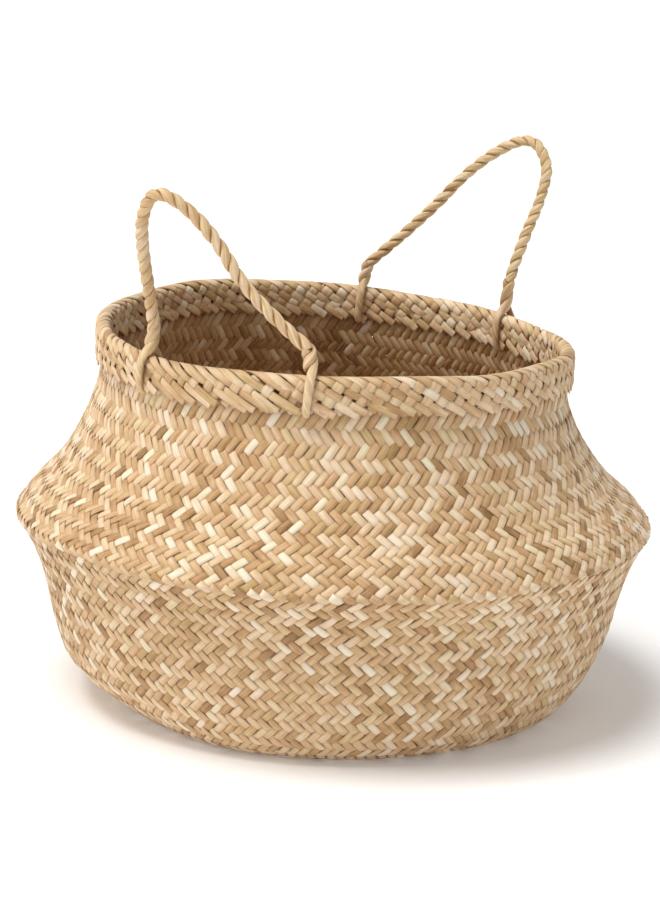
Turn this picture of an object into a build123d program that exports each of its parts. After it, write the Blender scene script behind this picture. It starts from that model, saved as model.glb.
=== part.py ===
from build123d import *
import os
from math import asin, atan2, cos, degrees, pi, radians, sin, sqrt, tan

# A round belly basket woven from one sheet of flat strands: a wide bowl, a sharp fold at the
# belly, and a collar that narrows to a bordered mouth with two rope handles.
# Millimetres. The origin is at the middle of the flat base, +Z is up, and the two handles
# are at the front (-Y) and the back (+Y).

# --- Driving dimensions of the woven body ---
WALL = 3.0                    # two crossed layers of strand
BASE_RADIUS = 115.5           # flat part that rests on the floor
BELLY_RADIUS = 163.5          # sharp fold where the bowl meets the collar
BELLY_HEIGHT = 95.5
NECK_RADIUS = 121.0           # outside of the wall under the border
NECK_HEIGHT = 170.0           # the wall is upright above this
WALL_TOP = 188.0
FOLD_ROUND = 4.2              # outer radius of the belly fold

# --- Border bands and lip ---
GAP = 0.2                     # between pieces that never move apart
BAND_THICK = 2.4
BAND_BOTTOM = 176.0
BAND_ROUND = 0.8
LIP_STRAIGHT = 1.2            # upright sides of the lip below its round top

# --- Rope ---
ROPE_RADIUS = 3.3
PLY_RADIUS = 1.7              # one of the rope's two plies, where they part to straddle the rim
RUNNING_GAP = 0.4             # between a handle and the loops that it swings over
FOOT_X = 42.5                 # half the distance between a handle's two feet
LOOP_DIP = 2.3                # how far below the bands the loop's middle crosses the wall
LOOP_CORNER = 2.6
LOOP_PEAK = 10.0              # sharp peak of the loop above the lip's centre, before rounding
LOOP_PEAK_ROUND = 2.5
HOLE_RADIUS = PLY_RADIUS + GAP
PIVOT_RISE = 14.9             # hinge line above the lip's centre: lets the rope fold over the rim
LEAN = 20.0                   # degrees that each handle leans outward at rest
RUN_SHARE = 0.45              # share of the shorter run that each bend of the rope takes up

# --- Worked out from the dimensions above ---
WALL_MID = NECK_RADIUS - WALL / 2
LIP_HALF = WALL / 2 + GAP + BAND_THICK
LIP_BOTTOM = WALL_TOP + GAP
LIP_CENTRE = LIP_BOTTOM + LIP_STRAIGHT
PIVOT_HEIGHT = LIP_CENTRE + PIVOT_RISE
FOOT_Y = sqrt(WALL_MID**2 - FOOT_X**2)
FOOT_ANGLE = degrees(asin(FOOT_X / WALL_MID))
LOOP_LEVEL = BAND_BOTTOM - LOOP_DIP
LOOP_HALF = LIP_HALF + GAP + PLY_RADIUS

# Routes of the handle ropes, by hand, from the left foot to the right foot as seen from outside:
# along the line of the feet, up from it in the handle's own plane, and out of that plane.
FRONT_ROUTE = [(-FOOT_X, 0, 0), (-40.5, 21, 1.5), (-39.5, 43, 2.5), (-37, 64, 1), (-26, 77, -1),
               (-2, 57, -2), (15, 24, 1), (FOOT_X, 0, 0)]
BACK_ROUTE = [(-FOOT_X, 0, 0), (-45, 23, 1.5), (-51, 47, 2), (-52, 67, 0.5), (-38, 81, -1),
              (-10, 61, -2), (16, 28, 1.5), (FOOT_X, 0, 0)]

# Outline points (radius, height) of the outside of the wall, between the base and the fold and
# between the fold and the upright neck.
BOWL_POINTS = [(BASE_RADIUS, 0), (129, 9), (137.5, 24), (144, 43), (148.5, 62), (154.5, 79),
               (BELLY_RADIUS, BELLY_HEIGHT)]
COLLAR_POINTS = [(BELLY_RADIUS, BELLY_HEIGHT), (157, 105), (143, 119.5), (132, 137), (124.5, 155),
                 (NECK_RADIUS, NECK_HEIGHT)]


def shifted_inward(curve, distance, count):
    """Points of a curve in the XZ plane, moved towards the basket's inside."""
    points = []
    for step in range(count):
        share = step / (count - 1)
        along = curve % share
        normal = Vector(-along.Z, 0, along.X)
        points.append(curve @ share + normal * distance)
    return points


def woven_wall():
    """The whole woven sheet: flat base, bowl, folded belly and collar, open at the mouth."""
    bowl = Spline([Vector(r, 0, z) for r, z in BOWL_POINTS], tangents=[(1, 0, 0.06), (1, 0, 1.7)])
    collar = Spline([Vector(r, 0, z) for r, z in COLLAR_POINTS], tangents=[(-1, 0, 1), (0, 0, 1)])
    steps = 7
    inner_bowl = shifted_inward(bowl, WALL, steps)
    inner_collar = shifted_inward(collar, WALL, steps)
    lower = atan2((bowl % 1).Z, (bowl % 1).X)
    upper = atan2((collar % 0).Z, (collar % 0).X)
    fold_half_angle = (pi - (upper - lower)) / 2
    fold_middle = (lower + upper) / 2 + pi / 2
    reach = WALL / sin(fold_half_angle)
    inner_fold = collar @ 0 + Vector(cos(fold_middle), 0, sin(fold_middle)) * reach
    inner_bowl[0] = Vector(BASE_RADIUS - WALL / 2, 0, WALL)
    inner_bowl[-1] = inner_fold
    inner_collar[0] = inner_fold
    inner_collar[-1] = Vector(NECK_RADIUS - WALL, 0, NECK_HEIGHT)
    top_out = Vector(NECK_RADIUS, 0, WALL_TOP)
    top_in = Vector(NECK_RADIUS - WALL, 0, WALL_TOP)
    edges = [
        Line((0, 0, 0), bowl @ 0),
        bowl,
        collar,
        Line(collar @ 1, top_out),
        Line(top_out, top_in),
        Line(top_in, inner_collar[-1]),
        Spline(inner_collar, tangents=[collar % 0, (0, 0, 1)]),
        Spline(inner_bowl, tangents=[(1, 0, 0.06), bowl % 1]),
        Line(inner_bowl[0], (0, 0, WALL)),
        Line((0, 0, WALL), (0, 0, 0)),
    ]
    section = make_face(edges)
    outer_corner = section.vertices().sort_by_distance(collar @ 0)[0]
    section = fillet(outer_corner, FOLD_ROUND)
    inner_corner = section.vertices().sort_by_distance(inner_fold)[0]
    section = fillet(inner_corner, FOLD_ROUND - WALL)
    wall = revolve(section, Axis.Z)
    for angle in foot_angles():
        wall -= wall_hole(angle)
    return wall


def foot_angles():
    """Directions from the middle to the four rope feet, in degrees from +X."""
    return [side + turn for side in (-90, 90) for turn in (-FOOT_ANGLE, FOOT_ANGLE)]


def wall_hole(angle):
    """Round hole through the wall just below the border, where a loop passes through."""
    drill = Cylinder(HOLE_RADIUS, 3 * WALL, rotation=(0, 90, 0))
    return Rot(0, 0, angle) * Pos(WALL_MID, 0, LOOP_LEVEL) * drill


def border_band(inner_radius):
    """One flat plaited band around the top of the wall, with rounded lower corners."""
    width = BAND_THICK
    height = WALL_TOP - BAND_BOTTOM
    middle = Pos(inner_radius + width / 2, 0, BAND_BOTTOM + height / 2)
    section = middle * (Plane.XZ * Rectangle(width, height))
    low_corners = section.vertices().sort_by(Axis.Z)[:2]
    section = fillet(low_corners, BAND_ROUND)
    return revolve(section, Axis.Z)


def lip():
    """The rope-like wrapped lip that caps the wall and both bands."""
    left = WALL_MID - LIP_HALF
    right = WALL_MID + LIP_HALF
    edges = [
        Line((left, 0, LIP_BOTTOM), (right, 0, LIP_BOTTOM)),
        Line((right, 0, LIP_BOTTOM), (right, 0, LIP_CENTRE)),
        ThreePointArc((right, 0, LIP_CENTRE), (WALL_MID, 0, LIP_CENTRE + LIP_HALF),
                      (left, 0, LIP_CENTRE)),
        Line((left, 0, LIP_CENTRE), (left, 0, LIP_BOTTOM)),
    ]
    return revolve(make_face(edges), Axis.Z)


def rim_loop(angle):
    """One end of a rope: its two plies part over the lip, run down both sides of the border and
    meet through the hole in the wall."""
    half_peak = asin(LOOP_HALF / LOOP_PEAK)
    side_out = Vector(LOOP_HALF * cos(half_peak), 0, LOOP_HALF * sin(half_peak))
    peak = Vector(0, 0, LOOP_PEAK)
    round_drop = LOOP_PEAK_ROUND / tan(half_peak)
    shoulder = peak + (side_out - peak).normalized() * round_drop
    round_top = peak.Z - LOOP_PEAK_ROUND / sin(half_peak) + LOOP_PEAK_ROUND
    half_turn = half_peak / 2
    side_mid = Vector(LOOP_HALF * cos(half_turn), 0, LOOP_HALF * sin(half_turn))
    low = LOOP_LEVEL - LIP_CENTRE
    bend_mid = LOOP_CORNER * (1 - cos(pi / 4))
    corner_mid = Vector(LOOP_HALF - bend_mid, 0, low + bend_mid)
    right_half = [
        (ThreePointArc, [side_out, side_mid, Vector(LOOP_HALF, 0, 0)]),
        (Line, [Vector(LOOP_HALF, 0, 0), Vector(LOOP_HALF, 0, low + LOOP_CORNER)]),
        (ThreePointArc, [Vector(LOOP_HALF, 0, low + LOOP_CORNER), corner_mid,
                         Vector(LOOP_HALF - LOOP_CORNER, 0, low)]),
    ]
    bottom = Line(Vector(LOOP_HALF - LOOP_CORNER, 0, low), Vector(LOOP_CORNER - LOOP_HALF, 0, low))
    edges = [ThreePointArc(mirrored(shoulder), Vector(0, 0, round_top), shoulder),
             Line(shoulder, side_out)]
    edges += [make(*points) for make, points in right_half]
    edges += [bottom]
    edges += [make(*[mirrored(point) for point in reversed(points)])
              for make, points in reversed(right_half)]
    edges += [Line(mirrored(side_out), mirrored(shoulder))]
    path = Wire(edges)
    section = Plane(origin=bottom @ 0.5, z_dir=bottom % 0.5) * Circle(PLY_RADIUS)
    start = Wire([Line(bottom @ 0.5, bottom @ 1)] + edges[edges.index(bottom) + 1:]
                 + edges[:edges.index(bottom)] + [Line(bottom @ 0, bottom @ 0.5)])
    loop = sweep(section, path=start)
    return Rot(0, 0, angle) * Pos(WALL_MID, 0, LIP_CENTRE) * loop


def mirrored(point):
    """The same point on the other side of the wall's middle."""
    return Vector(-point.X, point.Y, point.Z)


def handle_points(route, side):
    """Route points in the basket's frame. side is -1 at the front and 1 at the back."""
    lean = radians(LEAN)
    points = []
    for along, up, proud in route:
        outward = up * sin(lean) + proud * cos(lean)
        height = up * cos(lean) - proud * sin(lean)
        points.append(Vector(-side * along, side * (FOOT_Y + outward), PIVOT_HEIGHT + height))
    return points


def bend_radii(points):
    """The largest radius that each corner of the route has room for."""
    radii = []
    for before, corner, after in zip(points, points[1:], points[2:]):
        first = corner - before
        second = after - corner
        half_turn = radians(first.get_angle(second)) / 2
        radii.append(RUN_SHARE * min(first.length, second.length) / tan(half_turn))
    return radii


def handle_rope(route, side):
    """A rope arch on a rounded end at each foot, centred on the hinge line."""
    points = handle_points(route, side)
    radii = bend_radii(points)
    path = FilletPolyline(*points, radius=radii)
    section = Plane(origin=path @ 0, z_dir=path % 0) * Circle(ROPE_RADIUS)
    rope = sweep(section, path=path)
    length = path.length
    print("rope length", round(length, 1), "radii", [round(radius, 1) for radius in radii])
    print("  tube volume / section x length", round(rope.volume / (pi * ROPE_RADIUS**2 * length), 4))
    for foot in (points[0], points[-1]):
        rope += Pos(foot) * Sphere(ROPE_RADIUS)
    return rope


def write(name, shape):
    """One STEP file per piece."""
    export_step(shape, f"parts/{name}.step")


def main():
    os.makedirs("parts", exist_ok=True)
    write("woven_body", woven_wall())
    write("rim_border_outside", border_band(NECK_RADIUS + GAP))
    write("rim_border_inside", border_band(NECK_RADIUS - WALL - GAP - BAND_THICK))
    write("rim_lip_wrap", lip())
    loop_names = ["front_left_rope_loop", "front_right_rope_loop",
                  "back_right_rope_loop", "back_left_rope_loop"]
    for name, angle in zip(loop_names, foot_angles()):
        write(name, rim_loop(angle))
    write("front_handle_rope", handle_rope(FRONT_ROUTE, -1))
    write("back_handle_rope", handle_rope(BACK_ROUTE, 1))


main()
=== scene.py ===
from math import cos, pi, radians, sin, sqrt, tan

import bpy
import numpy as np
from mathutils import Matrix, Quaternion, Vector


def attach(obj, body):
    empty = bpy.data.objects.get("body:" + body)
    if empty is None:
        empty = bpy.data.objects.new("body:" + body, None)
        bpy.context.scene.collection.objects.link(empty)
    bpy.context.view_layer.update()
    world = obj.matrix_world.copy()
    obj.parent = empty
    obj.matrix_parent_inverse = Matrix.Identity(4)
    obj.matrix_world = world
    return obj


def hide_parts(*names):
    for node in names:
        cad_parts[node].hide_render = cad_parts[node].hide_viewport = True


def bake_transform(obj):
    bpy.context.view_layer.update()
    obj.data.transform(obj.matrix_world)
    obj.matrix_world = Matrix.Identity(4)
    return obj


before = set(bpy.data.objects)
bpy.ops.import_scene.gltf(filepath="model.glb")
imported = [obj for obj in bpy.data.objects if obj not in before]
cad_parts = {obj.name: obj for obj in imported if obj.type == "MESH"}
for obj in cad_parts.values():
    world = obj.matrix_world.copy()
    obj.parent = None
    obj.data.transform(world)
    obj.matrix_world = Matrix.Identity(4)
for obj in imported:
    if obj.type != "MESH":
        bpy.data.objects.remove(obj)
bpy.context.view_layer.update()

# A round belly basket plaited from flat grass strands, with a folded border round the mouth and
# two twisted rope handles. The maths is in millimetres; meshes are made in metres.
MM = 0.001

# --- Wall outline, as in the CAD: outside radius and height ---
BOWL_POINTS = [(115.5, 0.0), (129.0, 9.0), (137.5, 24.0), (144.0, 43.0), (148.5, 62.0),
               (154.5, 79.0), (163.5, 95.5)]
COLLAR_POINTS = [(163.5, 95.5), (157.0, 105.0), (143.0, 119.5), (132.0, 137.0), (124.5, 155.0),
                 (121.0, 170.0)]
BOWL_ENDS = [(1.0, 0.06), (1.0, 1.7)]         # directions of the outline at each curve's ends
COLLAR_ENDS = [(-1.0, 1.0), (0.0, 1.0)]
WALL_TOP = 188.0
HALF_WALL = 1.5
OUTLINE_STEP = 0.25
CURVE_SAMPLES = 200                           # points of a smooth curve between two outline points
FOLD_SOFTNESS = 1.3                           # how far the sharp belly fold is rounded

# --- Weave ---
STRANDS = 160                                 # strands of each slant round the wall
MAT_HALF = STRANDS // 4                       # rings from the middle of the base to the mat's edge
STRAND_WIDTH = 4.0
MAT_EDGE = 126.5                              # distance along the outline where the mat ends
MAT_TURN = radians(17)
STRAND_FILL = 1.03                            # share of its lane that a strand fills
STRAND_HALF_THICK = 0.5
FLOAT_RISE = 0.62                             # how far a strand lies outside or inside mid-wall
INNER_PAINTED_SHADE = -0.2                            # painted shade: the side of a strand that faces inside is darkened for the shade inside the basket
STRAND_TOP = 187.0
WANDER = 0.17                                 # sideways drift of a strand, in lanes
SAMPLES = 3                                   # points of a strand between two crossings
WEAVE_PIECES = 8

# --- Border ---
WALL_MID = 119.5
LIP_LEVEL = 189.4
LIP_BEND = 3.1                                # radius at which the wraps turn over the wall
BORDER_COUNT = 98                             # wrapping strands round the mouth
WRAP_SLOPE = 30.0
CROSS_SLOPE = 60.0
BORDER_STAND = 2.8                            # mean distance of the border strands from mid-wall
BORDER_RISE = 0.62
WRAP_WIDTH = 4.1
CROSS_WIDTH = 5.2
FIRST_ROW = 2.3                               # rows of crossings, along the section from the lip
ROW_STEP = 3.32
LAST_ROW = 5
BORDER_LENGTH_STEP = 0.75
BORDER_HALF_THICK = 0.58
LIP_FULLNESS = 0.25                           # a wrap is thicker and lies closer over the lip
OPEN_WRAPS = 0.945                            # cosine of the open wraps' reach from the front

# --- Rope, as in the CAD ---
FOOT_X = 42.5
FOOT_Y = sqrt(WALL_MID**2 - FOOT_X**2)
PIVOT_HEIGHT = 204.3
LEAN = radians(20)
FRONT_ROUTE = [(-FOOT_X, 0, 0), (-40.5, 21, 1.5), (-39.5, 43, 2.5), (-37, 64, 1), (-26, 77, -1),
               (-2, 57, -2), (15, 24, 1), (FOOT_X, 0, 0)]
BACK_ROUTE = [(-FOOT_X, 0, 0), (-45, 23, 1.5), (-51, 47, 2), (-52, 67, 0.5), (-38, 81, -1),
              (-10, 61, -2), (16, 28, 1.5), (FOOT_X, 0, 0)]
PLY_DEPTH = 1.7                               # half a ply's size away from the rope's middle
PLY_BREADTH = 2.2                             # and half its size along the other ply
PLY_ORBIT = 1.5                               # distance of each ply's middle from the rope's
PITCH_SHARES = [0.0, 0.35, 0.5, 1.0]          # places along the rope, and the twist's pitch there
PITCHES = [14.5, 11.0, 15.0, 17.0]
ROPE_STEP = 0.4
PLY_SIDES = 26
# One ply of a loop, from the rope down to the wall: distance from mid-wall, height, sideways. It
# makes its last full turn about the other ply before the two part over the lip.
LOOP_ROUTE = [(1.5, 204.9, 0.0), (1.1, 203.4, -1.8), (-1.1, 201.8, -1.8), (-2.0, 200.2, 0.0),
              (-1.1, 198.6, 1.8), (1.1, 197.0, 1.7), (2.8, 195.3, 0.6), (4.4, 193.3, 0.0),
              (5.8, 190.4, 0.0), (6.0, 186.0, 0.0), (5.8, 181.0, 0.0), (5.1, 177.0, 0.0),
              (3.2, 174.7, 0.0), (0.0, 174.0, 0.0)]
LOOP_LEVELS = [174.0, 194.0, 204.3]           # heights at which a loop's sideways lean is given
FRONT_THICKNESS = 1.0                         # share of the ply sizes above
BACK_THICKNESS = 0.93
LOOPS = {"front_left": ((-FOOT_X, -FOOT_Y), (-3.0, 0.0, 0.0), FRONT_THICKNESS),
         "front_right": ((FOOT_X, -FOOT_Y), (2.0, 4.0, 0.0), FRONT_THICKNESS),
         "back_right": ((FOOT_X, FOOT_Y), (0.0, 0.0, 0.0), BACK_THICKNESS),
         "back_left": ((-FOOT_X, FOOT_Y), (2.5, 1.0, 0.0), BACK_THICKNESS)}

BLADES = 7                                    # ridges round a ply
RIDGE = 0.09                                  # their depth, and the mean they stand on, as shares
RIDGE_MEAN = 0.05
SEAM_PAINTED_SHADE = -0.34                            # painted shade: the side of a ply that faces the other is darkened for the shade between the plies

# --- Unevenness of the basket, from the photograph ---
MOUTH_LIFT = -2.6                             # the mouth sits low, and lowest at the right
MOUTH_WAVES = [(1, -3.3, 0.5), (2, -1.3, -2.2)]  # waves round the mouth, and their two heights
MOUTH_RIPPLES = [(0.4, 5, 0.7), (0.35, 9, 2.1)]  # height, waves round and phase
MOUTH_SIDE = -1.6                             # shift of the mouth across the view
MOUTH_GROWS = (95, 180)                       # heights between which these set in
ROPE_SETTLES = (194.5, 204)                   # and fade out again along the rope loops
WALL_LUMPS = [(0.9, 2, 0.4, 60), (0.6, 3, 2.0, -45),  # depth, waves round, phase and
              (0.45, 5, 4.1, 30), (0.3, 8, 1.0, -25)]  # rise for each radian of phase
LUMPS_GROW = (6, 40)
FOLD_WAVES = [(1.0, 3, 0.9), (0.6, 7, 2.6), (0.35, 12, 0.0)]  # height, waves round and phase
FOLD_LEVEL = 95
FOLD_REACH = 14
INNER_CALM = 100                              # radius within which the base stays even
LOWEST = 0.05                                 # nothing dips below this height
TUCK = 8.5                                    # how far the bottom's left edge is drawn in
TUCK_REACH = (0.3, 0.9)                       # cosines from its edge to its full depth
TUCK_LEVELS = (0, 27)

# --- Camera, from the photograph ---
VIEW_TURN = radians(27.7)
CAMERA_DISTANCE = 1.5
CAMERA_HEIGHT = 0.487
AIM_HEIGHT = 0.1272
AIM_SIDE = -0.0025
ROLL = radians(2.12)
LENS = 119.9

# --- Studio ---
BASKET_MIDDLE = (0, 0, 0.12)
WORLD_LIGHT = 0.38
OVERHEAD_LIGHT = 2.4
LEFT_LIGHT = 9.0
FLOOR_GLOW = 0.14


# ---------------------------------------------------------------- outline of the wall

def smooth_line(points, ends):
    """Dense points of a smooth curve through the given ones, with the given end directions."""
    knots = np.array(points, float)
    gaps = np.linalg.norm(np.diff(knots, axis=0), axis=1)
    slopes = np.diff(knots, axis=0) / gaps[:, None]
    tangents = np.empty_like(knots)
    tangents[0], tangents[-1] = (np.array(end) / np.linalg.norm(end) for end in ends)
    weight = gaps[:-1, None] + gaps[1:, None]
    tangents[1:-1] = (slopes[:-1] * gaps[1:, None] + slopes[1:] * gaps[:-1, None]) / weight
    share = np.linspace(0, 1, CURVE_SAMPLES, endpoint=False)[:, None]
    spans = []
    for gap, here, after, leave, arrive in zip(gaps, knots, knots[1:], tangents, tangents[1:]):
        spans.append((2 * share**3 - 3 * share**2 + 1) * here + (3 * share**2 - 2 * share**3) * after
                     + gap * ((share**3 - 2 * share**2 + share) * leave
                              + (share**3 - share**2) * arrive))
    return np.vstack(spans + [knots[-1:]])


def along_lengths(points):
    """Distance along a line of points, at each of them."""
    return np.concatenate([[0], np.cumsum(np.linalg.norm(np.diff(points, axis=0), axis=1))])


def even_line(points, step):
    """The same line with evenly spaced points."""
    length = along_lengths(points)
    places = np.linspace(0, length[-1], int(length[-1] / step) + 1)
    return np.column_stack([np.interp(places, length, column) for column in points.T])


def softened(values, width):
    """A running average of each column, with the two ends held."""
    reach = int(3 * width / OUTLINE_STEP)
    kernel = np.exp(-0.5 * (np.arange(-reach, reach + 1) * OUTLINE_STEP / width) ** 2)
    kernel /= kernel.sum()
    padded = np.pad(values, ((reach, reach), (0, 0)), mode="edge")
    return np.column_stack([np.convolve(column, kernel, mode="valid") for column in padded.T])


def wall_outline():
    """Place along the outline, outside radius, mid-wall radius and height, and outward normal."""
    line = np.vstack([[(0, 0)], smooth_line(BOWL_POINTS, BOWL_ENDS),
                      smooth_line(COLLAR_POINTS, COLLAR_ENDS)[1:],
                      [(COLLAR_POINTS[-1][0], WALL_TOP)]])
    line = even_line(line, OUTLINE_STEP)
    tangent = np.gradient(line, axis=0)
    tangent /= np.linalg.norm(tangent, axis=1)[:, None]
    normal = np.column_stack([tangent[:, 1], -tangent[:, 0]])
    middle = softened(line - normal * HALF_WALL, FOLD_SOFTNESS)
    normal = softened(normal, FOLD_SOFTNESS)
    normal /= np.linalg.norm(normal, axis=1)[:, None]
    return along_lengths(line), line[:, 0], middle, normal


PLACE, OUTSIDE, MIDDLE, NORMAL = wall_outline()


def ring_places():
    """Place along the outline of each ring of crossings: even in the mat, then set by the slant
    that keeps every strand at its own width."""
    rings = list(np.linspace(0, MAT_EDGE, MAT_HALF + 1))
    top = np.interp(STRAND_TOP, MIDDLE[:, 1], PLACE)
    while True:
        radius = np.interp(rings[-1], PLACE, OUTSIDE)
        slant_sine = STRANDS * STRAND_WIDTH / (2 * pi * radius)
        slant = slant_sine / sqrt(1 - slant_sine**2)
        following = rings[-1] + pi * radius / STRANDS * slant
        if following > top:
            return np.array(rings)
        rings.append(following)


RINGS = ring_places()
LAST_RING = len(RINGS) - 1


def on_wall(place, turn):
    """Mid-wall points and outward normals at places along the outline and turns about the axis."""
    radius, height = (np.interp(place, PLACE, column) for column in MIDDLE.T)
    out, up = (np.interp(place, PLACE, column) for column in NORMAL.T)
    points = np.column_stack([radius * np.cos(turn), radius * np.sin(turn), height])
    normals = np.column_stack([out * np.cos(turn), out * np.sin(turn), up])
    return points, normals


# ---------------------------------------------------------------- the whole basket's unevenness

def eased(value, low, high):
    """0 below low, 1 above high, smooth between."""
    share = np.clip((value - low) / (high - low), 0, 1)
    return share * share * (3 - 2 * share)


def ripples(waves_round, turn):
    """The sum of a few waves round the basket, at each turn."""
    return sum(size * np.sin(waves * turn + phase) for size, waves, phase in waves_round)


def settled(points):
    """The points on the slightly uneven basket: a tilted, wavy mouth and a lumpy wall."""
    x, y, z = points.T
    radius = np.hypot(x, y)
    turn = np.arctan2(y, x)
    seen = turn - VIEW_TURN
    settling = 1 - eased(z, *ROPE_SETTLES)
    near_rim = eased(z, *MOUTH_GROWS) * settling
    lift = MOUTH_LIFT + ripples(MOUTH_RIPPLES, turn)
    for waves, ahead, aside in MOUTH_WAVES:
        lift += ahead * np.cos(waves * seen) + aside * np.sin(waves * seen)
    lump = sum(depth * np.sin(waves * turn + phase + z / rise)
               for depth, waves, phase, rise in WALL_LUMPS)
    at_fold = np.exp(-((z - FOLD_LEVEL) / FOLD_REACH) ** 2)
    tuck = TUCK * eased(-np.cos(seen), *TUCK_REACH) * (1 - eased(z, *TUCK_LEVELS))
    push = eased(z, *LUMPS_GROW) * settling * lump - tuck
    new_radius = radius + push * np.minimum(radius / INNER_CALM, 1)
    height = np.maximum(z + near_rim * lift + at_fold * ripples(FOLD_WAVES, turn), LOWEST)
    side = MOUTH_SIDE * near_rim
    return np.column_stack([new_radius * np.cos(turn) + side * cos(VIEW_TURN),
                            new_radius * np.sin(turn) + side * sin(VIEW_TURN), height])


# ---------------------------------------------------------------- ribbons and meshes

class Mesh:
    """Collects swept pieces and makes one Blender object of them."""

    def __init__(self):
        self.points = []
        self.fibres = []
        self.tones = []
        self.quads = []
        self.caps = []
        self.count = 0

    def sweep(self, rings, along, across, strand, tone, painted_side_shade=0.0):
        """Adds a closed tube: rings is (samples, sides, 3), along and tone are one per sample, and
        across and painted_side_shade one per side."""
        samples, sides = rings.shape[:2]
        index = self.count + np.arange(samples * sides).reshape(samples, sides)
        turned = np.roll(index, -1, axis=1)
        faces = np.stack([index[:-1], turned[:-1], turned[1:], index[1:]], axis=-1)
        self.quads.append(faces.reshape(-1, 4))
        self.caps += [index[0][::-1].tolist(), index[-1].tolist()]
        fibre = np.empty((samples, sides, 3))
        fibre[..., 0] = along[:, None] * MM
        fibre[..., 1] = across
        fibre[..., 2] = strand
        self.points.append(rings.reshape(-1, 3))
        self.fibres.append(fibre.reshape(-1, 3))
        # The side tones are painted shade, added to the tone on the sides that face into shade.
        self.tones.append((tone[:, None] + np.broadcast_to(painted_side_shade, (samples, sides))).ravel())
        self.count += samples * sides

    def make(self, name, material, slot):
        """The Blender object, in metres, with its two fibre attributes."""
        points = np.vstack(self.points) * MM
        quads = np.vstack(self.quads).tolist()
        mesh = bpy.data.meshes.new(name)
        mesh.from_pydata(points.tolist(), [], quads + self.caps)
        smooth = np.ones(len(mesh.polygons), bool)
        smooth[len(quads):] = False
        mesh.polygons.foreach_set("use_smooth", smooth)
        fibre = mesh.attributes.new("fibre", "FLOAT_VECTOR", "POINT")
        fibre.data.foreach_set("vector", np.vstack(self.fibres).astype(np.float32).ravel())
        # The tone holds a strand's own tone with painted shade added on its shaded sides.
        tone = mesh.attributes.new("tone", "FLOAT", "POINT")
        tone.data.foreach_set("value", np.concatenate(self.tones).astype(np.float32))
        mesh.materials.append(material)
        piece = bpy.data.objects.new(name, mesh)
        bpy.context.scene.collection.objects.link(piece)
        return piece


def unit(vectors):
    """Each row at length 1."""
    return vectors / np.linalg.norm(vectors, axis=-1, keepdims=True)


# A flat strand's section: across from edge to edge, and height from the middle.
FLAT_SECTION = np.array([(-1, 0), (-0.9, 0.78), (0.0, 1.0), (0.9, 0.78), (1, 0), (0.0, -1.0)])
# The thicker, rounder section of a border strand.
ROUND_SECTION = np.array([(-1, 0), (-0.86, 0.62), (-0.45, 0.92), (0.0, 1.0), (0.45, 0.92),
                          (0.86, 0.62), (1, 0), (0.6, -0.8), (-0.6, -0.8)])


def ribbon(mesh, centre, normal, half_width, half_thick, section, strand, tone):
    """Adds one strand along its centre line, flat to the given normals."""
    tangent = unit(np.gradient(centre, axis=0))
    across = unit(np.cross(normal, tangent))
    rise = np.cross(tangent, across)
    wide = np.broadcast_to(half_width, len(centre))[:, None, None] * section[None, :, :1]
    thick = np.broadcast_to(half_thick, len(centre))[:, None, None] * section[None, :, 1:]
    rings = centre[:, None] + across[:, None] * wide + rise[:, None] * thick
    along = along_lengths(centre)
    # Painted shade: the side of the strand that faces inside is darkened.
    painted_side_shade = np.where(section[:, 1] < 0, INNER_PAINTED_SHADE, 0.0)
    mesh.sweep(settled(rings.reshape(-1, 3)).reshape(rings.shape), along, section[:, 0], strand,
               tone, painted_side_shade)


def drift(random, places, wavelengths, size):
    """A smooth random wander, one value at each place."""
    total = np.zeros(len(places))
    for wavelength in wavelengths:
        length = wavelength * random.uniform(0.8, 1.25)
        total += np.sin(2 * pi * places / length + random.uniform(0, 2 * pi))
    return size * total / sqrt(len(wavelengths))


# ---------------------------------------------------------------- the weave

UPRIGHT, LEVEL = 0, 1        # the two directions of strand in the base's square mat
HALVES = np.arange(0.5, MAT_HALF)
LANES = np.concatenate([-HALVES[::-1], HALVES])
REACH = LAST_RING - 0.5
STATIONS = np.arange(-REACH, REACH + 1)


def wander_table(random):
    """How far each strand strays sideways, in lanes: by direction, lane and crossing."""
    table = np.empty((2, len(LANES), len(STATIONS)))
    for direction in (UPRIGHT, LEVEL):
        for lane in range(len(LANES)):
            table[direction, lane] = drift(random, STATIONS, (23, 47, 90), WANDER / 2)
    return table


def stray(table, direction, lane, station):
    """The wander of a strand at a crossing, from arrays of half-integer lanes and stations."""
    lane_index = np.clip(np.round(lane + MAT_HALF - 0.5), 0, len(LANES) - 1).astype(int)
    station_index = np.clip(np.round(station + REACH), 0, len(STATIONS) - 1).astype(int)
    return table[direction, lane_index, station_index]


def is_rising(direction, lane, station):
    """True where a strand slants up towards growing turn: family A in the two families."""
    return (direction == UPRIGHT) == (lane * station > 0)


def wall_number(direction, lane, end):
    """A strand's number round the mat's edge at one of its two ends, 0 to STRANDS."""
    if direction == UPRIGHT:
        number = np.where(end > 0, MAT_HALF - lane, 3 * MAT_HALF + lane)
    else:
        number = np.where(end > 0, lane, 2 * MAT_HALF - lane)
    return number % STRANDS


def strand_at(rising, number):
    """The direction, lane and end of the strand with this number in a family."""
    number = number % STRANDS
    quarter = (number // MAT_HALF).astype(int)
    choices = [number, MAT_HALF - number, 2 * MAT_HALF - number, number - 3 * MAT_HALF,
               number - STRANDS]
    rising_lane = np.choose(quarter, [choices[1], choices[2], choices[3], choices[4]])
    falling_lane = np.choose(quarter, [choices[0], choices[1], choices[2], choices[3]])
    direction = np.where(rising, quarter % 2, 1 - quarter % 2)
    rising_end = np.array([1, -1, -1, 1])[quarter]
    falling_end = np.array([1, 1, -1, -1])[quarter]
    return (direction, np.where(rising, rising_lane, falling_lane),
            np.where(rising, rising_end, falling_end))


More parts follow.
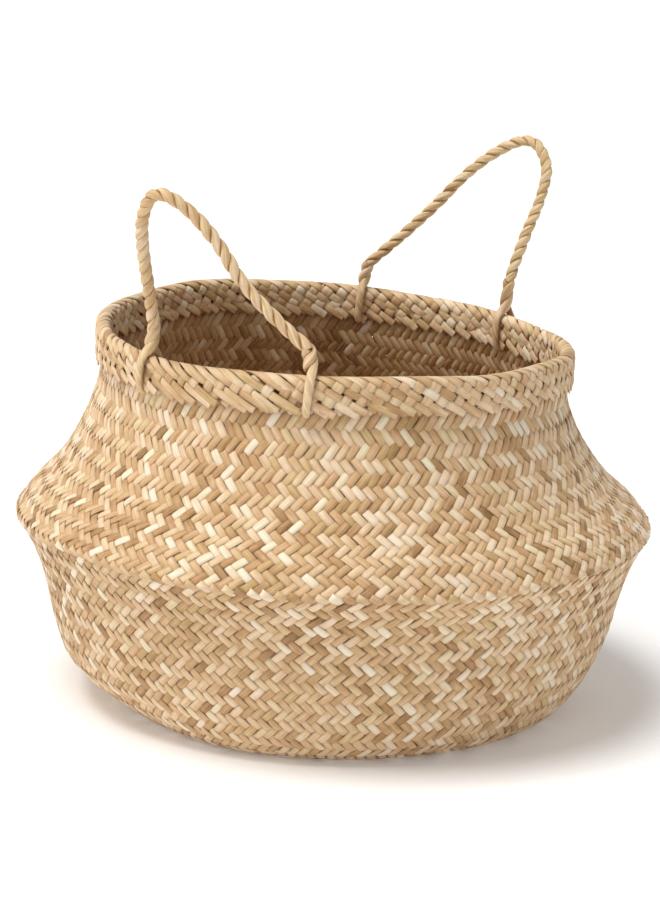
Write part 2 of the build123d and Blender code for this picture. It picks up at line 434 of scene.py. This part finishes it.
def mat_place(across, up):
    """Place along the outline and turn, for a crossing of the square mat."""
    ring = np.abs(across) + np.abs(up)
    quarter = np.where(across > 0, np.where(up > 0, 0, 3), np.where(up > 0, 1, 2))
    part = np.where(quarter % 2 == 0, np.abs(up), np.abs(across)) / ring
    turn = (quarter + part) * pi / 2
    radius = MAT_EDGE * ring / MAT_HALF
    roundness = (ring / MAT_HALF) ** 2
    x = roundness * radius * np.cos(turn) + (1 - roundness) * STRAND_WIDTH * across
    y = roundness * radius * np.sin(turn) + (1 - roundness) * STRAND_WIDTH * up
    return np.hypot(x, y), np.arctan2(y, x)


def strand_route(table, direction, lane):
    """Crossing by crossing along one strand from rim to rim: points, normals, side and width."""
    reach = LAST_RING - abs(lane)
    station = np.arange(-reach, reach + 1)
    ring = abs(lane) + np.abs(station)
    rising = is_rising(direction, lane, station)
    end = np.where(station > 0, 1, -1)
    own = stray(table, direction, np.full(len(station), lane), station)

    in_mat = ring <= MAT_HALF
    other = stray(table, 1 - direction, station, np.full(len(station), lane))
    moved = (lane + own, station + other)
    across, up = moved if direction == UPRIGHT else moved[::-1]
    place, turn = mat_place(across, up)

    number = wall_number(direction, lane, end)
    climb = ring - MAT_HALF
    partner = strand_at(~rising, np.where(rising, number + climb, number - climb))
    partner_station = partner[2] * (ring - np.abs(partner[1]))
    partner_stray = np.where(partner[0] == UPRIGHT,
                             stray(table, UPRIGHT, partner[1], partner_station),
                             stray(table, LEVEL, partner[1], partner_station))
    own_shift = own * end * (1 if direction == LEVEL else -1)
    partner_shift = partner_stray * partner[2] * np.where(partner[0] == LEVEL, 1, -1)
    rising_shift = np.where(rising, own_shift, partner_shift)
    falling_shift = np.where(rising, partner_shift, own_shift)
    wall_ring = ring + falling_shift - rising_shift
    wall_turn = number + np.where(rising, climb, -climb) / 2 + (rising_shift + falling_shift) / 2
    place = np.where(in_mat, place, np.interp(wall_ring, np.arange(len(RINGS)), RINGS))
    turn = np.where(in_mat, turn, wall_turn * 2 * pi / STRANDS)

    points, normals = on_wall(place, turn + MAT_TURN)
    outside = np.where(ring % 4 < 2, rising, ~rising)
    side_by_side = [stray(table, direction, np.full(len(station), lane + step),
                          end * (ring - np.abs(lane + step))) for step in (-1, 1)]
    width = np.clip(1 + (side_by_side[1] - side_by_side[0]) / 2, 0.8, 1.2)
    return points, normals, np.where(outside, 1.0, -1.0), width


def between(values, share):
    """Catmull-Rom values at a share of the way from each row to the next."""
    padded = np.concatenate([2 * values[:1] - values[1:2], values, 2 * values[-1:] - values[-2:-1]])
    before, here, after, later = padded[:-3], padded[1:-2], padded[2:-1], padded[3:]
    return 0.5 * (2 * here + (after - before) * share
                  + (2 * before - 5 * here + 4 * after - later) * share**2
                  + (3 * here - before - 3 * after + later) * share**3)


def refined(values):
    """SAMPLES rows for every gap between the given rows."""
    parts = np.stack([between(values, step / SAMPLES) for step in range(SAMPLES)], axis=1)
    return np.concatenate([parts.reshape(-1, *values.shape[1:]), values[-1:]])


def weave_side(side):
    """How far out the strand lies at each sample: +1 outside and -1 inside its crossings."""
    here, after = side[:-1], side[1:]
    leaving, arriving = 0.5, -0.5
    bulge = 1.06
    steady = here == after
    first = np.where(steady, here * bulge, here * leaving)
    second = np.where(steady, here * bulge, here * arriving)
    parts = np.stack([here, first, second], axis=1)
    return np.concatenate([parts.reshape(-1), side[-1:]])


def strand_tone(random, count):
    """A strand's own shade, drifting a little from end to end."""
    own = np.clip(random.normal(0.6, 0.15), 0.2, 0.95)
    places = np.arange(count, dtype=float)
    return own + drift(random, places, (70, 170, 330), 0.08) + drift(random, places, (11, 29), 0.05)


def weave(material):
    """The whole woven body as a few interleaved pieces."""
    random = np.random.default_rng(11)
    table = wander_table(random)
    meshes = [Mesh() for _ in range(WEAVE_PIECES)]
    number = 0
    for direction in (UPRIGHT, LEVEL):
        for lane in LANES:
            points, normals, side, width = strand_route(table, direction, lane)
            points, normals = refined(points), unit(refined(normals))
            width = refined(width[:, None])[:, 0]
            offset = weave_side(side) * FLOAT_RISE * random.uniform(0.88, 1.1)
            half_width = STRAND_WIDTH / 2 * STRAND_FILL * width * random.uniform(0.95, 1.05)
            half_thick = STRAND_HALF_THICK * random.uniform(0.85, 1.12)
            tone = strand_tone(random, len(points))
            ribbon(meshes[number % WEAVE_PIECES], points + normals * offset[:, None], normals,
                   half_width, half_thick, FLAT_SECTION, number, tone)
            number += 1
    return [mesh.make(f"woven_strands_{index + 1}", material, "woven_strands")
            for index, mesh in enumerate(meshes)]


# ---------------------------------------------------------------- the border

LIP_ARC = LIP_BEND * pi / 2


def border_point(distance, turn, stand):
    """Points and normals of the border's section, swept to a turn about the axis. The distance
    runs from the top of the lip down the outside, or down the inside where it is negative."""
    bend = np.clip(distance / LIP_BEND, -pi / 2, pi / 2)
    out, up = np.sin(bend), np.cos(bend)
    drop = np.maximum(np.abs(distance) - LIP_ARC, 0)
    radius = WALL_MID + out * stand
    height = LIP_LEVEL - drop + up * stand
    points = np.column_stack([radius * np.cos(turn), radius * np.sin(turn), height])
    normals = np.column_stack([out * np.cos(turn), out * np.sin(turn), up])
    return points, normals


def row_sides(turn, distance):
    """Which way the crossings of each row go: +1 where the wrap is on the outside. The wraps lie
    open, over most of the others, on the outside between the front handle's feet."""
    is_open = (-np.sin(turn) > OPEN_WRAPS) & (distance > 0)
    plaited = [1.0, -1.0, 1.0, -0.9, 0.9, 0.25]
    open_wraps = [1.0, 0.9, -0.9, 1.0, 0.8, 0.25]
    rows = [np.where(is_open, over, under) for over, under in zip(open_wraps, plaited)]
    return np.stack(rows, axis=1)


def wrap_side(distance, turn):
    """How far out a wrapping strand lies, +1 to -1, along its way down from the lip."""
    row = np.clip((np.abs(distance) - FIRST_ROW) / ROW_STEP, 0, LAST_ROW - 0.001)
    lower = row.astype(int)
    share = eased(row - lower, 0.2, 0.8)
    sides = row_sides(turn, distance)
    rows = np.arange(len(turn))
    return sides[rows, lower] * (1 - share) + sides[rows, lower + 1] * share


def border_tone(random, count):
    """Shade of a border strand, paler and less varied than the wall's."""
    return (np.clip(random.normal(0.62, 0.12), 0.3, 0.95)
            + drift(random, np.arange(count, dtype=float), (40, 90), 0.07))


def border_strand(mesh, random, number, start, end, slope, width, opposite):
    """One strand of the border from one distance down its section to another."""
    count = int(abs(end - start) / sin(radians(abs(slope))) / BORDER_LENGTH_STEP) + 2
    distance = np.linspace(start, end, count)
    lead = distance / tan(radians(slope + random.normal(0, 1.6)))
    origin = FIRST_ROW * (1 / tan(radians(WRAP_SLOPE)) + 1 / tan(radians(CROSS_SLOPE)))
    if opposite:
        lead = lead + origin * np.sign(start + end)
    pitch = 2 * pi * WALL_MID / BORDER_COUNT
    turn = (pitch * (number + random.normal(0, 0.07)) + lead) / WALL_MID
    side = wrap_side(distance, turn) * (-1 if opposite else 1)
    lift = BORDER_RISE * side + random.normal(0, 0.06)
    over_lip = 1 - eased(np.abs(distance), LIP_ARC * 0.7, LIP_ARC * 1.5)
    points, normals = border_point(distance, turn, BORDER_STAND + lift - LIP_FULLNESS * over_lip)
    half_width = width / 2 * (random.uniform(0.88, 1.1) + drift(random, distance, (9, 17), 0.05))
    half_thick = BORDER_HALF_THICK * random.uniform(0.9, 1.1) + LIP_FULLNESS * over_lip
    ribbon(mesh, points, normals, half_width, half_thick, ROUND_SECTION, 500 + number * 3.7 + start,
           border_tone(random, count))


def border_core(mesh):
    """The folded-down strand ends that fill the lip under its wraps."""
    count = 361
    turn = np.linspace(0, 2 * pi, count)
    angles = np.linspace(0, 2 * pi, 10, endpoint=False)
    radius = 1.9
    centre = np.column_stack([WALL_MID * np.cos(turn), WALL_MID * np.sin(turn),
                              np.full(count, LIP_LEVEL - 0.8)])
    out = np.column_stack([np.cos(turn), np.sin(turn), np.zeros(count)])
    rise = np.array([0.0, 0.0, 1.0])
    rings = (centre[:, None] + radius * np.cos(angles)[None, :, None] * out[:, None]
             + radius * np.sin(angles)[None, :, None] * rise)
    mesh.sweep(settled(rings.reshape(-1, 3)).reshape(rings.shape), turn * WALL_MID,
               np.cos(angles), 900, np.full(count, 0.3))


def border(material):
    """The wrapped lip, and the crossing strands of its two sides."""
    random = np.random.default_rng(23)
    bottom = FIRST_ROW + LAST_ROW * ROW_STEP
    wraps, outside, inside = Mesh(), Mesh(), Mesh()
    border_core(wraps)
    for number in range(BORDER_COUNT):
        start = -(bottom + random.uniform(-0.8, 0.6))
        end = bottom + random.uniform(-0.9, 1.1)
        border_strand(wraps, random, number, start, end, WRAP_SLOPE, WRAP_WIDTH, False)
    for number in range(BORDER_COUNT):
        end = bottom - random.uniform(0.8, 2.4)
        border_strand(outside, random, number, 2.6, end, -CROSS_SLOPE, CROSS_WIDTH, True)
        border_strand(inside, random, number, -end, -2.6, -CROSS_SLOPE, CROSS_WIDTH, True)
    return (wraps.make("rim_wraps", material, "border_strands"),
            outside.make("rim_outside_strands", material, "border_strands"),
            inside.make("rim_inside_strands", material, "border_strands"))


# ---------------------------------------------------------------- rope

def smooth_route(points):
    """Points along one NURBS spline with these control points, evenly spaced."""
    curve = bpy.data.curves.new("rope_route", "CURVE")
    curve.dimensions = "3D"
    curve.resolution_u = 48
    spline = curve.splines.new("NURBS")
    spline.points.add(len(points) - 1)
    for control, point in zip(spline.points, points):
        control.co = (*point, 1)
    spline.order_u = 3
    spline.use_endpoint_u = True
    holder = bpy.data.objects.new("rope_route", curve)
    line = bpy.data.meshes.new_from_object(holder)
    found = np.array([vertex.co for vertex in line.vertices], float)
    bpy.data.objects.remove(holder)
    bpy.data.meshes.remove(line)
    bpy.data.curves.remove(curve)
    return even_line(found, ROPE_STEP)


def handle_points(route, side):
    """Route points in the basket's frame. side is -1 at the front and 1 at the back."""
    points = []
    for along, up, proud in route:
        outward = up * sin(LEAN) + proud * cos(LEAN)
        height = up * cos(LEAN) - proud * sin(LEAN)
        points.append((-side * along, side * (FOOT_Y + outward), PIVOT_HEIGHT + height))
    return points


def carried_frames(line, first):
    """Two directions square to a line at each point, carried along it without twist."""
    tangent = unit(np.gradient(line, axis=0))
    normals = np.empty_like(line)
    normal = np.array(first, float)
    for index, direction in enumerate(tangent):
        normal = normal - direction * np.dot(normal, direction)
        normal /= np.linalg.norm(normal)
        normals[index] = normal
    return normals, np.cross(tangent, normals)


def ply(mesh, line, outward, scale, twist, random, strand):
    """One ply: a bundle of grass blades pressed against the other ply, ridged along its twist."""
    tangent = unit(np.gradient(line, axis=0))
    normal = unit(outward - tangent * np.sum(outward * tangent, axis=1)[:, None])
    side = np.cross(tangent, normal)
    length = along_lengths(line)
    angles = np.linspace(0, 2 * pi, PLY_SIDES, endpoint=False)
    turned = angles[None, :] + twist * length[:, None]
    swell = drift(random, length, (9, 21, 37), 0.04)[:, None]
    ridges = RIDGE * np.abs(np.sin(BLADES / 2 * turned + random.uniform(0, pi))) - RIDGE_MEAN
    ridges = ridges + 0.03 * np.sin(3 * turned + length[:, None] / 6 + random.uniform(0, pi))
    reach = np.broadcast_to(scale, len(line))[:, None] * (1 + swell + ridges)
    deep = PLY_DEPTH * np.cos(angles) * reach
    broad = PLY_BREADTH * np.sin(angles) * reach
    rings = line[:, None] + deep[..., None] * normal[:, None] + broad[..., None] * side[:, None]
    tone = (np.clip(random.normal(0.66, 0.05), 0.4, 0.9)
            + drift(random, length, (18, 50, 110), 0.06))
    around = ((turned / (2 * pi)) % 1) * 2 - 1
    # Painted shade on the side of the ply that faces the rope's middle, where the plies press
    # together.
    seam_painted_shade = SEAM_PAINTED_SHADE * (1 - eased(np.cos(angles), -0.3, 0.5))
    mesh.sweep(rings, length, around, strand, tone, seam_painted_shade)


def outward_at(foot):
    """The level direction from the basket's axis to a rope foot."""
    return np.array([foot[0], foot[1], 0]) / np.hypot(foot[0], foot[1])


def twisted_handle(name, route, side, thickness, material, seed):
    """The handle: two plies twisted right-handed, one of them outermost at each foot."""
    random = np.random.default_rng(seed)
    line = smooth_route(handle_points(route, side))
    normal, binormal = carried_frames(line, outward_at(line[0]))
    length = along_lengths(line)
    pitch = np.interp(length / length[-1], PITCH_SHARES, PITCHES)
    phase = np.concatenate([[0], np.cumsum(2 * pi / pitch[1:] * np.diff(length))])
    goal = outward_at(line[-1])
    wanted = np.arctan2(np.dot(goal, binormal[-1]), np.dot(goal, normal[-1]))
    missing = (wanted - phase[-1] + pi / 2) % pi - pi / 2
    phase = phase + missing * length / length[-1]
    mesh = Mesh()
    scale = thickness * (1 + drift(random, length, (31, 57), 0.03))
    for half in (0, 1):
        angle = (phase + pi * half)[:, None]
        outward = np.cos(angle) * normal + np.sin(angle) * binormal
        centre = line + PLY_ORBIT * scale[:, None] * outward
        ply(mesh, centre, outward, scale, 0.22, random, 700 + 10 * seed + half)
    handle = mesh.make(name, material, "twisted_rope")
    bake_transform(handle)
    return handle


def rope_loop(name, foot, leans, thickness, material, seed):
    """Where a rope's plies part over the lip, run down both sides and meet in the wall. The leans
    are the loop's sideways shifts at the three loop levels."""
    random = np.random.default_rng(seed)
    outward = outward_at(foot)
    sideways = np.cross([0, 0, 1], outward)
    mesh = Mesh()
    for half, sign in enumerate((1, -1)):
        points = [outward * (WALL_MID + sign * away)
                  + sideways * (sign * shift + np.interp(height, LOOP_LEVELS, leans))
                  + np.array([0, 0, height]) for away, height, shift in LOOP_ROUTE]
        line = smooth_route(points)
        middle = (outward * WALL_MID + sideways * np.interp(line[:, 2], LOOP_LEVELS, leans)[:, None]
                  + np.array([0, 0, 1]) * np.maximum(line[:, 2], 180)[:, None])
        share = along_lengths(line) / along_lengths(line)[-1]
        scale = thickness * (1 - 0.22 * eased(share, 0.6, 1.0))
        before = len(mesh.points)
        ply(mesh, line, line - middle, scale, 0.3, random, 800 + 10 * seed + half)
        mesh.points[before] = settled(mesh.points[before])
    loop = mesh.make(name, material, "twisted_rope")
    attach(loop, "basket")
    return loop


def loose_fibres(material):
    """A few frayed blades that stand off the border."""
    random = np.random.default_rng(5)
    mesh = Mesh()
    for number in range(26):
        turn = random.uniform(0, 2 * pi)
        sign = random.choice([-1, 1])
        length = random.uniform(4, 11)
        share = np.linspace(0, 1, 9)
        distance = random.uniform(3, 17) * np.ones(9) * sign
        stand = 3.2 + share**2 * random.uniform(0.6, 2.6)
        swept = turn + share * length * random.uniform(-1, 1) / WALL_MID
        points, normals = border_point(distance, swept, stand)
        points[:, 2] += share * length * random.uniform(-0.7, 0.5)
        ribbon(mesh, points, normals, 0.32 * (1 - 0.7 * share), 0.14, FLAT_SECTION, 950 + number,
               np.full(9, random.uniform(0.5, 0.9)))
    fibres = mesh.make("loose_rim_fibres", material, "border_strands")
    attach(fibres, "basket")
    return fibres


# ---------------------------------------------------------------- materials

DARK_TO_PALE = [(0.0, (0.16, 0.075, 0.025)), (0.2, (0.36, 0.19, 0.075)),
                (0.4, (0.55, 0.325, 0.145)), (0.6, (0.70, 0.465, 0.25)),
                (0.8, (0.84, 0.63, 0.41)), (1.0, (0.92, 0.79, 0.61))]


def grass(name, shade, streaks, blotches, edge_dirt_and_shade, bump_depth):
    """Dried grass: colour from the strand's own tone plus painted shade on its shaded sides, fine
    streaks along it, blotches, and edges darker partly from dirt, partly from painted shade.
    """
    material = bpy.data.materials.new(name)
    material.use_nodes = True
    nodes, links = material.node_tree.nodes, material.node_tree.links
    shader = nodes["Principled BSDF"]

    def math_node(operation, first, second):
        node = nodes.new("ShaderNodeMath")
        node.operation = operation
        for socket, value in zip(node.inputs, (first, second)):
            if isinstance(value, (int, float)):
                socket.default_value = value
            else:
                links.new(value, socket)
        return node.outputs[0]

    def noise_node(stretch, detail):
        scaled = nodes.new("ShaderNodeVectorMath")
        scaled.operation = "MULTIPLY"
        scaled.inputs[1].default_value = stretch
        links.new(fibre.outputs["Vector"], scaled.inputs[0])
        noise = nodes.new("ShaderNodeTexNoise")
        noise.inputs["Scale"].default_value = 1.0
        noise.inputs["Detail"].default_value = detail
        links.new(scaled.outputs[0], noise.inputs["Vector"])
        return noise.outputs["Fac"]

    fibre = nodes.new("ShaderNodeAttribute")
    fibre.attribute_name = "fibre"
    tone = nodes.new("ShaderNodeAttribute")
    tone.attribute_name = "tone"
    fine = noise_node((60.0, 4.4, 3.7), 3.0)
    wide = noise_node((240.0, 1.0, 7.3), 2.0)
    long_blotch = noise_node((45.0, 0.4, 11.3), 1.0)
    value = math_node("ADD", tone.outputs["Fac"], shade)
    for source, size in ((fine, streaks), (wide, blotches), (long_blotch, blotches)):
        centred = math_node("SUBTRACT", source, 0.5)
        value = math_node("ADD", value, math_node("MULTIPLY", centred, size))
    ramp = nodes.new("ShaderNodeValToRGB")
    elements = ramp.color_ramp.elements
    elements.remove(elements[1])
    elements[0].position = DARK_TO_PALE[0][0]
    elements[0].color = (*DARK_TO_PALE[0][1], 1)
    for position, colour in DARK_TO_PALE[1:]:
        elements.new(position).color = (*colour, 1)
    links.new(value, ramp.inputs[0])

    parts = nodes.new("ShaderNodeSeparateXYZ")
    links.new(fibre.outputs["Vector"], parts.inputs[0])
    tint_noise = nodes.new("ShaderNodeTexWhiteNoise")
    tint_noise.noise_dimensions = "1D"
    links.new(math_node("ADD", parts.outputs["Z"], 0.5), tint_noise.inputs["W"])
    tint = nodes.new("ShaderNodeValToRGB")
    tint.color_ramp.elements[0].color = (0.96, 1.0, 0.90, 1)
    tint.color_ramp.elements[1].color = (1.0, 0.95, 0.93, 1)
    tint.color_ramp.elements.new(0.35).color = (1, 1, 1, 1)
    tint.color_ramp.elements.new(0.7).color = (1, 1, 1, 1)
    links.new(tint_noise.outputs["Value"], tint.inputs[0])
    tinted = nodes.new("ShaderNodeMix")
    tinted.data_type = "RGBA"
    tinted.blend_type = "MULTIPLY"
    tinted.inputs["Factor"].default_value = 1.0
    links.new(ramp.outputs[0], tinted.inputs["A"])
    links.new(tint.outputs[0], tinted.inputs["B"])

    # Darker towards a strand's edges: partly edge dirt, partly painted shade where neighbouring
    # strands meet.
    side = math_node("POWER", math_node("ABSOLUTE", parts.outputs["Y"], 0.0), 4.0)
    kept = math_node("SUBTRACT", 1.0, math_node("MULTIPLY", side, edge_dirt_and_shade))
    edged = nodes.new("ShaderNodeVectorMath")
    edged.operation = "SCALE"
    links.new(tinted.outputs["Result"], edged.inputs[0])
    links.new(kept, edged.inputs["Scale"])
    links.new(edged.outputs[0], shader.inputs["Base Color"])

    rough = math_node("ADD", 0.52, math_node("MULTIPLY", fine, 0.22))
    links.new(rough, shader.inputs["Roughness"])
    shader.inputs["Sheen Weight"].default_value = 0.12
    shader.inputs["Specular IOR Level"].default_value = 0.4
    bump = nodes.new("ShaderNodeBump")
    bump.inputs["Strength"].default_value = 0.7
    bump.inputs["Distance"].default_value = bump_depth
    links.new(math_node("ADD", fine, math_node("MULTIPLY", wide, 0.5)), bump.inputs["Height"])
    links.new(bump.outputs[0], shader.inputs["Normal"])
    return material


def plain_floor():
    """A wide pale floor that glows faintly, so that it stays near white under soft light."""
    bpy.ops.mesh.primitive_circle_add(vertices=64, radius=12, fill_type="NGON")
    floor = bpy.context.active_object
    floor.name = "floor"
    material = bpy.data.materials.new("pale_floor")
    material.use_nodes = True
    shader = material.node_tree.nodes["Principled BSDF"]
    shader.inputs["Base Color"].default_value = (0.9, 0.9, 0.9, 1)
    shader.inputs["Roughness"].default_value = 0.9
    shader.inputs["Specular IOR Level"].default_value = 0.1
    shader.inputs["Emission Color"].default_value = (1, 1, 1, 1)
    shader.inputs["Emission Strength"].default_value = FLOOR_GLOW
    floor.data.materials.append(material)


def light(name, kind, location, power, size, colour):
    """A studio light aimed at the basket. The size is a width in metres, or an angle for a sun."""
    data = bpy.data.lights.new(name, kind)
    data.energy = power
    data.color = colour
    if kind == "SUN":
        data.angle = size
    else:
        data.size = size
    lamp = bpy.data.objects.new(name, data)
    lamp.location = location
    lamp.rotation_euler = (Vector(BASKET_MIDDLE) - lamp.location).to_track_quat("-Z", "Y").to_euler()
    bpy.context.scene.collection.objects.link(lamp)


def studio():
    """White surroundings, a broad soft light from above and a fill from the left."""
    world = bpy.data.worlds.new("studio")
    bpy.context.scene.world = world
    world.use_nodes = True
    background = world.node_tree.nodes["Background"]
    background.inputs["Color"].default_value = (1, 1, 1, 1)
    background.inputs["Strength"].default_value = WORLD_LIGHT
    light("overhead", "SUN", (-0.35, -0.65, 2.2), OVERHEAD_LIGHT, radians(30), (1.0, 0.99, 0.97))
    light("left_fill", "AREA", (-1.7, -1.3, 0.9), LEFT_LIGHT, 0.9, (1.0, 0.99, 0.97))
    bpy.context.scene.view_settings.view_transform = "Standard"


def camera():
    """The photograph's camera."""
    data = bpy.data.cameras.new("camera")
    data.lens = LENS
    view = bpy.data.objects.new("camera", data)
    view.location = (CAMERA_DISTANCE * sin(VIEW_TURN), -CAMERA_DISTANCE * cos(VIEW_TURN),
                     CAMERA_HEIGHT)
    aim = Vector((AIM_SIDE * cos(VIEW_TURN), AIM_SIDE * sin(VIEW_TURN), AIM_HEIGHT))
    look = (aim - view.location).to_track_quat("-Z", "Y")
    view.rotation_mode = "QUATERNION"
    view.rotation_quaternion = look @ Quaternion((0, 0, 1), ROLL)
    bpy.context.scene.collection.objects.link(view)
    bpy.context.scene.camera = view


def main():
    camera()
    plain_floor()
    studio()
    wall_grass = grass("wall_grass", shade=0.02, streaks=0.6, blotches=0.3, edge_dirt_and_shade=0.3,
                       bump_depth=0.00022)
    border_grass = grass("border_grass", shade=0.04, streaks=0.6, blotches=0.3, edge_dirt_and_shade=0.3,
                         bump_depth=0.0003)
    rope_grass = grass("rope_grass", shade=0.04, streaks=0.95, blotches=0.3, edge_dirt_and_shade=0.0,
                       bump_depth=0.0005)

    for piece in weave(wall_grass):
        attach(piece, "basket")
        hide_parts("woven_body")
    for piece, node in zip(border(border_grass), ("rim_lip_wrap", "rim_border_outside",
                                                  "rim_border_inside")):
        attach(piece, "basket")
        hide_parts(node)
    loose_fibres(border_grass)

    front = twisted_handle("front_handle_plies", FRONT_ROUTE, -1, FRONT_THICKNESS,
                           rope_grass, 3)
    back = twisted_handle("back_handle_plies", BACK_ROUTE, 1, BACK_THICKNESS,
                          rope_grass, 4)
    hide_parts("front_handle_rope")
    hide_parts("back_handle_rope")
    for seed, (place, (foot, leans, thickness)) in enumerate(LOOPS.items()):
        loop = rope_loop(f"{place}_loop_plies", foot, leans, thickness, rope_grass, 30 + seed)
        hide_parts(f"{place}_rope_loop")


main()
